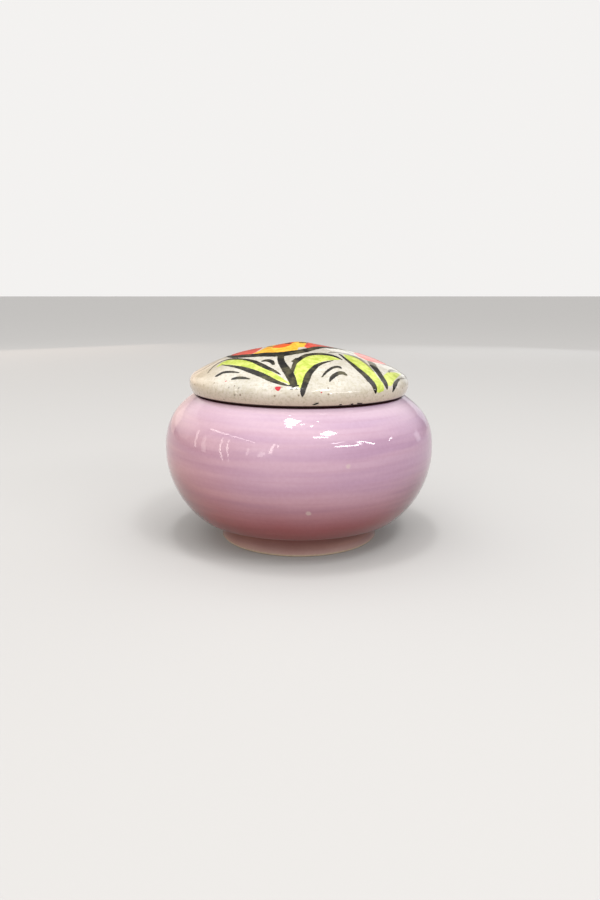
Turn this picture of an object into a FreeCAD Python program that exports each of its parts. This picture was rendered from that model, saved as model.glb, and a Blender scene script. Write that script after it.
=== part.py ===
import FreeCAD, Part
import math
import os

# A small round lidded box of fired clay: a full-bellied bowl on a foot ring, and a low domed lid.
# The lid rests on the rim of the mouth, and a flange underneath it keeps it centred.
# Outside its seat the lid stands a little clear of the rim, which shows as a dark seam.
# Millimetres, +Z up. The origin is on the axis, in the plane that the foot ring stands on.
# Every outline is half a section, in radius and height, and is turned round the axis.

# Bowl, outside. The belly bends by a share of its height above its lower edge,
# and the shoulder's shares are of the rise and the reach between belly and rim.
belly_radius = 55.0
belly_height = 37.6
belly_edge_height = 9.8
belly_bend_share = 1.3165
belly_rise_share = 0.58
shoulder_reach_share = 0.57
shoulder_slope = 36.0
rim_radius = 42.4
rim_height = 59.9

# Bowl, foot
foot_radius = 32.6
foot_flare = 0.8
foot_height = 9.4
foot_ring_width = 5.0
recess_depth = 3.5
recess_taper = 0.6

# Bowl, inside. The side bends into the floor by a share of its height above the floor.
wall = 4.5
floor_height = 10.0
side_bend_share = 0.87
rim_width = 4.1
rim_depth = 4.5

# Lid, outside. The bend is a share of the dome's rise, and the slopes are shares of its mean slope.
lid_height = 80.2
lid_overhang = 2.2
lid_edge_inset = 1.1
lid_edge_rise = 4.3
lid_bend_share = 0.256
lid_bend_slope_share = 1.695
crown_radius = 4.5
crown_slope_share = 0.557

# Lid, underneath. The hollow bends by a share of its own rise.
seat_inset = 1.4
seam_gap = 0.6
flange_clearance = 0.7
flange_depth = 6.5
flange_thickness = 3.4
lid_wall = 4.8
hollow_spring = 2.6
hollow_bend_share = 0.465

# Roundings and bevels of the turned edges
belly_edge_rounding = 3.0
foot_corner_bevel = 0.8
foot_edge_bevel = 0.5
rim_edge_bevel = 0.4
mouth_edge_bevel = 0.6
lid_edge_bevel = 0.5
flange_end_bevel = 0.7

# A turned edge is found by its radius and height within this
edge_tolerance = 0.001

axis_point = FreeCAD.Vector(0, 0, 0)
axis_direction = FreeCAD.Vector(0, 0, 1)
full_turn = 360
quarter_turn = math.radians(90)
half = 0.5


def place(radius, height):
    """A point of an outline."""
    return FreeCAD.Vector(radius, 0, height)


def outward(slope):
    """The way square to a surface that falls outward at this slope."""
    return place(math.sin(slope), math.cos(slope))


def straight(start, end):
    return Part.makeLine(start, end)


def curve(start, start_pole, end_pole, end):
    """A smooth stretch that leaves and arrives along its two inner poles."""
    bezier = Part.BezierCurve()
    bezier.setPoles([start, start_pole, end_pole, end])
    return bezier.toShape()


def arc_round(centre, radius, start, end):
    """The arc between two angles, which rise from the level outward."""
    def at(angle):
        return centre + place(radius * math.cos(angle), radius * math.sin(angle))

    return Part.Arc(at(start), at(half * (start + end)), at(end)).toShape()


def upright_arc(far, wide):
    """The arc from a far point to the widest point, where it stands upright."""
    inset = wide.x - far.x
    rise = far.z - wide.z
    radius = (inset ** 2 + rise ** 2) / (inset + inset)
    centre = place(wide.x - radius, wide.z)
    return arc_round(centre, radius, math.atan2(rise, far.x - centre.x), 0)


def vault(spring, peak, bend_share):
    """Two arcs in one smooth run, upright where they spring and level where they meet the axis."""
    rise = abs(peak.z - spring.z)
    way = math.copysign(1, peak.z - spring.z)
    bend_radius = bend_share * rise
    reach = spring.x - bend_radius
    cap_radius = half * (reach ** 2 + rise ** 2 - bend_radius ** 2) / (rise - bend_radius)
    join = way * math.atan2(cap_radius - rise, reach)
    bend = arc_round(place(reach, spring.z), bend_radius, 0, join)
    cap = arc_round(peak - place(0, way * cap_radius), cap_radius, join, way * quarter_turn)
    return [bend, cap]


def rings_at(solid, corner):
    """The ring-shaped edges of a turned solid at this corner of its outline."""
    rings = []
    for edge in solid.Edges:
        if edge.Degenerated or not isinstance(edge.Curve, Part.Circle):
            continue
        level = abs(edge.Curve.Center.z - corner.z) < edge_tolerance
        if level and abs(edge.Curve.Radius - corner.x) < edge_tolerance:
            rings.append(edge)
    return rings


def bevelled(solid, corner, width):
    return solid.makeChamfer(width, rings_at(solid, corner))


def turned(edges):
    """The solid that a closed outline sweeps in a full turn."""
    outline = Part.Wire(edges)
    return Part.Face(outline).revolve(axis_point, axis_direction, full_turn)


def belly_side():
    """The small arc under the belly's lower edge and the wide arc above it, up to the widest point."""
    belly_bend_radius = belly_bend_share * (belly_height - belly_edge_height)
    wide_centre = place(belly_radius - belly_bend_radius, belly_height)
    spread = belly_bend_radius - belly_edge_rounding
    join = -math.asin((belly_height - belly_edge_height - belly_edge_rounding) / spread)
    edge_centre = wide_centre + place(spread * math.cos(join), spread * math.sin(join))
    return [
        arc_round(edge_centre, belly_edge_rounding, -quarter_turn, join),
        arc_round(wide_centre, belly_bend_radius, join, 0),
    ]


def make_bowl():
    mouth_radius = rim_radius - rim_width
    slope = math.tan(math.radians(shoulder_slope))

    # Outside, from the axis out under the foot and up to the rim
    recess_centre = place(0, recess_depth)
    recess_corner = place(foot_radius - foot_ring_width - recess_taper, recess_depth)
    ring_inside = place(foot_radius - foot_ring_width, 0)
    ring_outside = place(foot_radius, 0)
    foot_corner = place(foot_radius + foot_flare, foot_height)
    side = belly_side()
    widest = place(belly_radius, belly_height)
    rim_outside = place(rim_radius, rim_height)
    reach = shoulder_reach_share * (belly_radius - rim_radius)
    rise = belly_rise_share * (rim_height - belly_height)
    shoulder = curve(widest, widest + place(0, rise),
                     rim_outside + place(reach, -reach * slope), rim_outside)

    # Inside, from the mouth down to the middle of the floor
    mouth_edge = place(mouth_radius, rim_height)
    mouth_foot = place(mouth_radius, rim_height - rim_depth)
    widest_inside = place(belly_radius - wall, belly_height)
    floor_centre = place(0, floor_height)

    bowl = turned([
        straight(recess_centre, recess_corner),
        straight(recess_corner, ring_inside),
        straight(ring_inside, ring_outside),
        straight(ring_outside, foot_corner),
        straight(foot_corner, side[0].firstVertex().Point),
        *side,
        shoulder,
        straight(rim_outside, mouth_edge),
        straight(mouth_edge, mouth_foot),
        upright_arc(mouth_foot, widest_inside),
        *vault(widest_inside, floor_centre, side_bend_share),
        straight(floor_centre, recess_centre),
    ])
    bowl = bevelled(bowl, ring_inside, foot_edge_bevel)
    bowl = bevelled(bowl, ring_outside, foot_edge_bevel)
    bowl = bevelled(bowl, foot_corner, foot_corner_bevel)
    bowl = bevelled(bowl, rim_outside, rim_edge_bevel)
    return bevelled(bowl, mouth_edge, mouth_edge_bevel)


def make_lid():
    flange_radius = rim_radius - rim_width - flange_clearance
    flange_bore = flange_radius - flange_thickness
    lid_radius = rim_radius + lid_overhang
    dome_rise = lid_height - rim_height - lid_edge_rise
    dome_slope = dome_rise / lid_radius
    steep = math.atan(lid_bend_slope_share * dome_slope)
    shallow = math.atan(crown_slope_share * dome_slope)

    # Outside, the edge above the seam and the small bend over the shoulder
    lower_edge = place(lid_radius - lid_edge_inset, rim_height + seam_gap)
    widest = place(lid_radius, rim_height + lid_edge_rise)
    lid_bend_radius = lid_bend_share * dome_rise
    bend_centre = widest - place(lid_bend_radius, 0)
    bend_end = bend_centre + outward(steep) * lid_bend_radius

    # The wide bend that carries on into the shallow cone, and the rounded crown on top of it
    top = place(0, lid_height)
    crown_edge = top + place(crown_radius, -crown_radius * math.tan(half * shallow))
    cone_rise = (bend_end.x - crown_radius) * math.tan(shallow)
    turn = outward(shallow) - outward(steep)
    wide_radius = (crown_edge.z - bend_end.z - cone_rise) / (turn.z + turn.x * math.tan(shallow))
    wide_centre = bend_end - outward(steep) * wide_radius
    cone_edge = wide_centre + outward(shallow) * wide_radius
    crown_bend = crown_radius / math.sin(shallow)

    # Underneath, the seat that bears on the rim, the flange and the hollow inside it
    seat_outside = place(rim_radius - seat_inset, rim_height)
    seam_inside = seat_outside + place(seam_gap, seam_gap)
    hollow_top = place(0, lid_height - lid_wall)
    spring = place(flange_bore, rim_height + hollow_spring)
    flange_end_inside = place(flange_bore, rim_height - flange_depth)
    flange_end_outside = place(flange_radius, rim_height - flange_depth)
    flange_root = place(flange_radius, rim_height)

    lid = turned([
        arc_round(top - place(0, crown_bend), crown_bend, quarter_turn, quarter_turn - shallow),
        straight(crown_edge, cone_edge),
        arc_round(wide_centre, wide_radius, quarter_turn - shallow, quarter_turn - steep),
        arc_round(bend_centre, lid_bend_radius, quarter_turn - steep, 0),
        upright_arc(lower_edge, widest),
        straight(lower_edge, seam_inside),
        straight(seam_inside, seat_outside),
        straight(seat_outside, flange_root),
        straight(flange_root, flange_end_outside),
        straight(flange_end_outside, flange_end_inside),
        straight(flange_end_inside, spring),
        *vault(spring, hollow_top, hollow_bend_share),
        straight(hollow_top, top),
    ])
    lid = bevelled(lid, flange_end_inside, flange_end_bevel)
    lid = bevelled(lid, flange_end_outside, flange_end_bevel)
    return bevelled(lid, lower_edge, lid_edge_bevel)


os.makedirs("parts", exist_ok=True)
for node, make in (("bowl", make_bowl), ("lid", make_lid)):
    shape = make()
    shape.exportStep("parts/" + node + ".step")
    print(node, "valid", shape.isValid(), "solids", len(shape.Solids), "volume", round(shape.Volume))
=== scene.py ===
from functools import partial
import math

import bpy
import numpy as np
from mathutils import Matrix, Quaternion, Vector


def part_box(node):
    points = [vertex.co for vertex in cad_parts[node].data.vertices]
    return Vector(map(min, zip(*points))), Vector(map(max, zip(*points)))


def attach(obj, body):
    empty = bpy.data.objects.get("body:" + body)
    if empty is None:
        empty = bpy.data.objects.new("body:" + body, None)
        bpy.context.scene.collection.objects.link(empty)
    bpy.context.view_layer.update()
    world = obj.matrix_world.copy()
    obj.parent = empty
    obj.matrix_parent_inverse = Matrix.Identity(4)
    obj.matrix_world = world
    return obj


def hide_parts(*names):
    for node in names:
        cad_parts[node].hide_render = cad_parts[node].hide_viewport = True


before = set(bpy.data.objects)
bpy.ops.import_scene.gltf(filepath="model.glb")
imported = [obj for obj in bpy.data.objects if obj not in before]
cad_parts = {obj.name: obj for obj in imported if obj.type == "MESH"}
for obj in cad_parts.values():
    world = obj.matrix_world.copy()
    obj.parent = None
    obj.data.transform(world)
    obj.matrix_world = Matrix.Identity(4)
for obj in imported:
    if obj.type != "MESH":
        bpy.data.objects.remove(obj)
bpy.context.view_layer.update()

# A hand-painted lidded box of glazed clay: a pink bowl on a foot ring and a cream lid.
# Sizes are in millimetres, as the maker reads them, and become metres on the meshes.
MM = 0.001

# What the frame gives
bowl_low, bowl_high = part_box("bowl")
lid_low, lid_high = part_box("lid")
BELLY_RADIUS = bowl_high[0] / MM
RIM_HEIGHT = bowl_high[2] / MM
LID_RADIUS = lid_high[0] / MM
LID_HEIGHT = lid_high[2] / MM
FLANGE_FOOT = lid_low[2] / MM

# Bowl section
BELLY_HEIGHT = 37.6
BELLY_EDGE_HEIGHT = 9.8
BELLY_EDGE_ROUND = 3.0
BELLY_BEND = 1.3165 * (BELLY_HEIGHT - BELLY_EDGE_HEIGHT)
FOOT_RADIUS = 32.6
FOOT_TOP_RADIUS = 33.4
FOOT_HEIGHT = 9.4
FOOT_RING = 5.0
RECESS_DEPTH = 3.5
RECESS_TAPER = 0.6
RIM_RADIUS = 42.4
RIM_WIDTH = 4.1
RIM_DEPTH = 4.5
SHOULDER_RISE_SHARE = 0.58
SHOULDER_REACH_SHARE = 0.57
SHOULDER_SLOPE = 36.0
WALL = 4.5
FLOOR_HEIGHT = 10.0
SIDE_BEND_SHARE = 0.87

# Lid section
LID_EDGE_INSET = 1.1
LID_EDGE_RISE = 4.3
LID_BEND_SHARE = 0.256
LID_BEND_SLOPE_SHARE = 1.695
CROWN_RADIUS = 4.5
CROWN_SLOPE_SHARE = 0.557
SEAT_INSET = 1.4
SEAM_GAP = 0.6
FLANGE_GAP = 0.7
FLANGE_THICKNESS = 3.4
LID_WALL = 4.8
HOLLOW_SPRING = 2.6
HOLLOW_BEND_SHARE = 0.465

# The lid sits a little lower on the right, and the top of the bowl leans with it.
# The lean comes in between two heights.
LEAN = math.tan(math.radians(0.5))
LEAN_FROM = 44
LEAN_TO = 58

# How finely a section is drawn. Round a bend its points lie a turn of TURN_STEP apart but no
# closer than FINE_STEP, and stay so close for FINE_REACH on each side.
TRACE = 0.05
TURN_STEP = math.radians(9)
FINE_STEP = 0.15
FINE_REACH = 0.35

# How many traced points a trait of the surface fades over, on each side of its edge
FADE = 8

# Points nearer to each other than this become one, in metres
MERGE_WITHIN = 1e-7

# How wide the painted shade in the seam reaches on the bowl and on the lid, and how high the foot is
# bare
BOWL_SEAM_SHADE = 0.6
LID_SEAM_SHADE = 0.35
WIPED_HEIGHT = 0.8


def colour(red, green, blue):
    """A screen colour as the renderer's linear one."""
    screen = np.array([red, green, blue]) / 255
    linear = np.where(screen > 0.04045, ((screen + 0.055) / 1.055) ** 2.4, screen / 12.92)
    return tuple(float(part) for part in linear) + (1.0,)


def give(tree, socket, value):
    """Sets an input, or links it to the output that it is given."""
    if isinstance(value, bpy.types.NodeSocket):
        tree.links.new(value, socket)
    else:
        socket.default_value = value


def put(tree, kind, settings=(), **inputs):
    """Adds a node and returns its outputs. An input goes by its name, or by "at" and its number."""
    made = tree.nodes.new(kind)
    for name, value in dict(settings).items():
        setattr(made, name, value)
    for name, value in inputs.items():
        key = int(name[2:]) if name.startswith("at") else name.replace("_", " ")
        give(tree, made.inputs[key], value)
    return made.outputs


# Sections, in radius and height


def line(start, end):
    count = max(2, int(math.dist(start, end) / TRACE))
    return np.linspace(start, end, count)


def arc(centre, radius, start, end):
    """The arc between two angles in degrees, which rise from the level outward."""
    count = max(8, int(radius * abs(math.radians(end - start)) / TRACE))
    angle = np.radians(np.linspace(start, end, count))
    return np.array(centre) + radius * np.column_stack([np.cos(angle), np.sin(angle)])


def sweep(start, start_pole, end_pole, end):
    """A smooth stretch that leaves and arrives along its two inner poles."""
    share = np.linspace(0, 1, int(math.dist(start, end) / TRACE))[:, None]
    rest = 1 - share
    poles = np.array([start, start_pole, end_pole, end])
    return (rest ** 3 * poles[0] + 3 * rest ** 2 * share * poles[1]
            + 3 * rest * share ** 2 * poles[2] + share ** 3 * poles[3])


def upright_arc(far, wide):
    """The arc from a far point to the widest point, where it stands upright."""
    inset = wide[0] - far[0]
    rise = far[1] - wide[1]
    radius = (inset ** 2 + rise ** 2) / (2 * inset)
    centre = (wide[0] - radius, wide[1])
    return arc(centre, radius, math.degrees(math.atan2(rise, far[0] - centre[0])), 0)


def vault(spring, peak_height, bend_share):
    """Two arcs in one smooth run, upright where they spring and level where they meet the axis."""
    rise = abs(peak_height - spring[1])
    bend = bend_share * rise
    way = math.copysign(1, peak_height - spring[1])
    reach = spring[0] - bend
    cap = (reach ** 2 + rise ** 2 - bend ** 2) / (2 * (rise - bend))
    join = way * math.degrees(math.atan2(cap - rise, reach))
    return np.vstack([arc((reach, spring[1]), bend, 0, join),
                      arc((0, peak_height - way * cap), cap, join, way * 90)])


# What a section's surface is like: throwing rings, waver, bare clay, and painted shade in the seam
TRAITS = ("rings", "waver", "bare", "pool")


class Section:
    """Half a section, drawn stretch by stretch, with what each stretch's surface is like."""

    def __init__(self):
        self.points = np.empty((0, 2))
        self.corners = []
        self.traits = []

    def add(self, stretch, soft=0.0, step=0.9, rings=0.0, waver=1.0, bare=0.0, pool=0.0):
        """A stretch of outline, and how wide the corner in front of it is softened."""
        if soft:
            self.corners.append((len(self.points), soft))
        self.points = np.vstack([self.points, stretch])
        self.traits += [(step, rings, waver, bare, pool)] * len(stretch)

    def finished(self):
        """The points at their final spacing, with what the surface is like at each."""
        points = self.points
        keep = np.append(True, np.linalg.norm(np.diff(points, axis=0), axis=1) > TRACE / 10)
        corners = [(int(keep[:index].sum()), width) for index, width in self.corners]
        points = points[keep]
        traits = np.array(self.traits)[keep]
        path = np.append(0, np.cumsum(np.linalg.norm(np.diff(points, axis=0), axis=1)))
        even = np.arange(0, path[-1], TRACE)
        even = np.append(even, path[-1])

        # A corner is softened by averaging the outline over a window that closes away from it
        window = np.zeros_like(even)
        for index, width in corners:
            window = np.maximum(window, width - 0.5 * np.abs(even - path[index]))
        window = np.minimum(window, np.minimum(even, even[-1] - even))
        wide = window > TRACE
        smooth = np.column_stack([np.interp(even, path, points[:, side]) for side in (0, 1)])
        total = [np.append(0, np.cumsum(0.5 * (track[1:] + track[:-1]) * np.diff(even)))
                 for track in smooth.T]
        for side in (0, 1):
            upper = np.interp(even + window, even, total[side])
            lower = np.interp(even - window, even, total[side])
            smooth[wide, side] = (upper - lower)[wide] / (2 * window[wide])

        # Points lie closer where the outline bends more
        way = np.arctan2(*np.gradient(smooth, axis=0).T)
        bend = np.abs(np.gradient(np.unwrap(way))) / TRACE
        step = np.interp(even, path, traits[:, 0])
        step = np.clip(TURN_STEP / np.maximum(bend, 1e-6), FINE_STEP, step)
        span = int(FINE_REACH / TRACE)
        step = np.array([step[max(0, i - span):i + span + 1].min() for i in range(len(step))])
        stops = np.append(0, np.cumsum(0.5 * (1 / step[1:] + 1 / step[:-1]) * TRACE))
        count = int(stops[-1]) + 1
        at = np.interp(np.linspace(0, stops[-1], count), stops, even)
        chosen = np.column_stack([np.interp(at, even, smooth[:, side]) for side in (0, 1)])
        chosen[:, 0] = np.maximum(chosen[:, 0], 0)
        fade = np.ones(2 * FADE + 1) / (2 * FADE + 1)
        surface = {"path": at}
        for name, trait in zip(TRAITS, traits[:, 1:].T):
            padded = np.pad(np.interp(even, path, trait), FADE, "edge")
            surface[name] = np.interp(at, even, np.convolve(padded, fade, "valid"))
        return chosen, surface


# Turning on the wheel


def turning_tree():
    """Geometry Nodes that turn a section round the axis and give it the marks of the hand."""
    tree = bpy.data.node_groups.new("wheel_turning", "GeometryNodeTree")
    face = tree.interface
    face.new_socket("Section", in_out="INPUT", socket_type="NodeSocketGeometry")
    face.new_socket("Columns", in_out="INPUT", socket_type="NodeSocketInt")
    for name in ("Ring Pitch", "Waver Depth", "Waver Size", "Seed"):
        face.new_socket(name, in_out="INPUT", socket_type="NodeSocketFloat")
    face.new_socket("Glaze", in_out="INPUT", socket_type="NodeSocketMaterial")
    face.new_socket("Piece", in_out="OUTPUT", socket_type="NodeSocketGeometry")
    given = tree.nodes.new("NodeGroupInput").outputs
    add = partial(put, tree)

    def sums(way, first, second=0.0):
        return add("ShaderNodeMath", {"operation": way}, at0=first, at1=second)[0]

    # A grid whose columns go round the axis and whose rows follow the section
    size = add("GeometryNodeAttributeDomainSize", at0=given["Section"])
    grid = add("GeometryNodeMeshGrid", Size_X=1.0, Size_Y=1.0,
               Vertices_X=sums("ADD", given["Columns"], 1.0), Vertices_Y=size[0])
    spot = add("ShaderNodeSeparateXYZ", at0=add("GeometryNodeInputPosition")[0])
    round_share = sums("ADD", spot[0], 0.5)
    last_row = sums("SUBTRACT", size[0], 1.0)
    row = sums("ROUND", sums("MULTIPLY", sums("ADD", spot[1], 0.5), last_row))
    place = add("GeometryNodeSampleIndex", {"data_type": "FLOAT_VECTOR"},
                Geometry=given["Section"], Index=row,
                Value=add("GeometryNodeInputPosition")[0])
    section = add("ShaderNodeSeparateXYZ", at0=place[0])
    angle = sums("MULTIPLY", round_share, 2 * math.pi)
    turned = add("ShaderNodeCombineXYZ",
                 X=sums("MULTIPLY", section[0], sums("COSINE", angle)),
                 Y=sums("MULTIPLY", section[0], sums("SINE", angle)), Z=section[2])

    # What the section says about its surface goes onto the piece
    piece = grid[0]
    traits = {}
    for name in TRAITS + ("path",):
        found = add("GeometryNodeInputNamedAttribute", {"data_type": "FLOAT"}, Name=name)[0]
        taken = add("GeometryNodeSampleIndex", {"data_type": "FLOAT"},
                    Geometry=given["Section"], Index=row, Value=found)[0]
        piece = add("GeometryNodeStoreNamedAttribute", {"data_type": "FLOAT", "domain": "POINT"},
                    Geometry=piece, Name=name, Value=taken)[0]
        traits[name] = add("GeometryNodeInputNamedAttribute", {"data_type": "FLOAT"}, Name=name)[0]
    piece = add("GeometryNodeSetPosition", Geometry=piece, Position=turned[0])[0]
    piece = add("GeometryNodeMergeByDistance", Geometry=piece, Distance=MERGE_WITHIN)[0]

    # Throwing rings follow the section, and a slow waver lies over the whole wall
    where = add("GeometryNodeInputPosition")[0]
    ring_scale = 9.0
    ring_turn = sums("DIVIDE", sums("DIVIDE", traits["path"], given["Ring Pitch"]), ring_scale)
    ring = add("ShaderNodeTexNoise", {"noise_dimensions": "4D"}, Vector=where, Scale=ring_scale,
               W=sums("ADD", ring_turn, given["Seed"]), Detail=1.5)
    waver_scale = sums("DIVIDE", 1.0, given["Waver Size"])
    slow = add("ShaderNodeTexNoise", {"noise_dimensions": "4D"}, Vector=where,
               Scale=waver_scale, W=given["Seed"], Detail=1.0)
    depth = sums("ADD", sums("MULTIPLY", ring[0], traits["rings"]),
                 sums("MULTIPLY", slow[0], sums("MULTIPLY", traits["waver"], given["Waver Depth"])))
    inward = add("ShaderNodeVectorMath", {"operation": "SCALE"},
                 at0=add("GeometryNodeInputNormal")[0], Scale=sums("MULTIPLY", depth, -1.0))
    piece = add("GeometryNodeSetPosition", Geometry=piece, Offset=inward[0])[0]
    piece = add("GeometryNodeSetShadeSmooth", Geometry=piece)[0]
    piece = add("GeometryNodeRealizeInstances", Geometry=piece)[0]
    piece = add("GeometryNodeSetMaterial", Geometry=piece, Material=given["Glaze"])[0]
    done = tree.nodes.new("NodeGroupOutput")
    tree.links.new(piece, done.inputs["Piece"])
    return tree


def read_points(mesh):
    spots = np.empty(len(mesh.vertices) * 3, np.float32)
    mesh.vertices.foreach_get("co", spots)
    return spots.reshape(-1, 3)


def turn(name, section, tree, finish, **sizes):
    """The turned piece as a plain mesh, with its faces outward."""
    points, traits = section.finished()
    flat = bpy.data.meshes.new(name + "_section")
    flat.from_pydata([(radius * MM, 0, height * MM) for radius, height in points],
                     [(i, i + 1) for i in range(len(points) - 1)], [])
    for trait, values in traits.items():
        layer = flat.attributes.new(trait, "FLOAT", "POINT")
        layer.data.foreach_set("value", values * (MM if trait in ("rings", "path") else 1.0))
    holder = bpy.data.objects.new(name + "_section", flat)
    bpy.context.scene.collection.objects.link(holder)
    modifier = holder.modifiers.new("turning", "NODES")
    modifier.node_group = tree
    sockets = {item.name: item.identifier for item in tree.interface.items_tree
               if item.in_out == "INPUT"}
    for label, value in sizes.items():
        modifier[sockets[label.replace("_", " ")]] = value
    modifier[sockets["Glaze"]] = finish
    graph = bpy.context.evaluated_depsgraph_get()
    mesh = bpy.data.meshes.new_from_object(holder.evaluated_get(graph),
                                           preserve_all_data_layers=True, depsgraph=graph)
    holder.modifiers.remove(modifier)
    bpy.data.objects.remove(holder)
    bpy.data.meshes.remove(flat)
    mesh.name = name
    spots = read_points(mesh)
    share = np.clip((spots[:, 2] / MM - LEAN_FROM) / (LEAN_TO - LEAN_FROM), 0, 1)
    spots[:, 2] -= LEAN * spots[:, 0] * share ** 2 * (3 - 2 * share)
    mesh.vertices.foreach_set("co", spots.ravel())
    mesh.update()
    piece = bpy.data.objects.new(name, mesh)
    bpy.context.scene.collection.objects.link(piece)
    return piece


# Materials

# The slip's colours from the table up to the rim. The dark brown-red low down is partly the slip's
# own colour and partly painted shade
PINK_SLIP_AND_PAINTED_SHADE = [
    (0.00, colour(186, 160, 146)), (0.05, colour(146, 108, 98)), (0.10, colour(120, 74, 68)),
    (0.17, colour(122, 60, 54)), (0.26, colour(128, 60, 62)), (0.34, colour(145, 92, 97)),
    (0.45, colour(163, 124, 134)), (0.60, colour(175, 143, 157)), (0.86, colour(160, 132, 146)),
    (1.00, colour(182, 161, 172))]

# Pale spots on the belly, each with its place and its half width
CRAWLED_SPOTS = [(17.1, -51.6, 40.8, 0.9), (3.4, -52.2, 23.6, 1.0), (-44, 26, 34, 0.8),
                 (20, 50, 27, 1.0), (50, 16, 46, 0.7)]


class Finish:
    """A node material, and short words for the nodes that it is made of."""

    def __init__(self, name):
        self.material = bpy.data.materials.new(name)
        self.material.use_nodes = True
        self.tree = self.material.node_tree
        self.shader = self.tree.nodes["Principled BSDF"]
        self.put = partial(put, self.tree)

    def give(self, name, value):
        """Sets or links an input of the shader."""
        give(self.tree, self.shader.inputs[name], value)

    def sums(self, way, first, second=0.0, third=0.0):
        return self.put("ShaderNodeMath", {"operation": way}, at0=first, at1=second, at2=third)[0]

    def trait(self, name):
        return self.put("ShaderNodeAttribute", {"attribute_name": name})["Fac"]

    def place(self):
        return self.put("ShaderNodeTexCoord")["Object"]

    def noise(self, size, detail=2.0, roughness=0.5, stretch=(1, 1, 1), seed=0.0):
        """Noise from 0 to 1 whose lumps are about this many millimetres across."""
        spread = self.put("ShaderNodeVectorMath", {"operation": "MULTIPLY"},
                          at0=self.place(), at1=stretch)[0]
        return self.put("ShaderNodeTexNoise", {"noise_dimensions": "4D"}, Vector=spread,
                        W=seed, Scale=1 / (size * MM), Detail=detail, Roughness=roughness)[0]

    def ease(self, value, low, high, to_low=0.0, to_high=1.0):
        return self.put("ShaderNodeMapRange", {"interpolation_type": "SMOOTHSTEP"}, Value=value,
                        at1=low, at2=high, at3=to_low, at4=to_high)[0]

    def mix(self, share, under, over, way="MIX"):
        return self.put("ShaderNodeMix", {"data_type": "RGBA", "blend_type": way},
                        at0=share, at6=under, at7=over)[2]

    def ramp(self, value, stops):
        made = self.tree.nodes.new("ShaderNodeValToRGB")
        band = made.color_ramp
        band.interpolation = "B_SPLINE"
        while len(band.elements) < len(stops):
            band.elements.new(0.5)
        for element, (at, tint) in zip(band.elements, stops):
            element.position = at
            element.color = tint
        give(self.tree, made.inputs[0], value)
        return made.outputs[0]

    def band(self, path, width, wander, seed=0.0):
        """Noise in bands that run round the axis, each about this many millimetres wide."""
        turn_by = self.sums("DIVIDE", path, width * wander * MM)
        return self.put("ShaderNodeTexNoise", {"noise_dimensions": "4D"}, Vector=self.place(),
                        Scale=wander, W=self.sums("ADD", turn_by, seed), Detail=2.0,
                        Roughness=0.5)[0]

    def gloss(self, normal, coat_roughness, coat_ior=1.4):
        """A clear glaze over the colour."""
        for name, value in (("Normal", normal), ("Coat Normal", normal), ("IOR", 1.5),
                            ("Specular IOR Level", 0.05), ("Coat Weight", 1.0),
                            ("Coat IOR", coat_ior), ("Coat Roughness", coat_roughness)):
            self.give(name, value)

    def bump(self, height, depth, under=None):
        """A normal from a height from 0 to 1 that is this many millimetres deep."""
        inputs = {"Height": height, "Distance": depth * MM, "Strength": 1.0}
        if under is not None:
            inputs["Normal"] = under
        return self.put("ShaderNodeBump", **inputs)[0]


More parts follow.
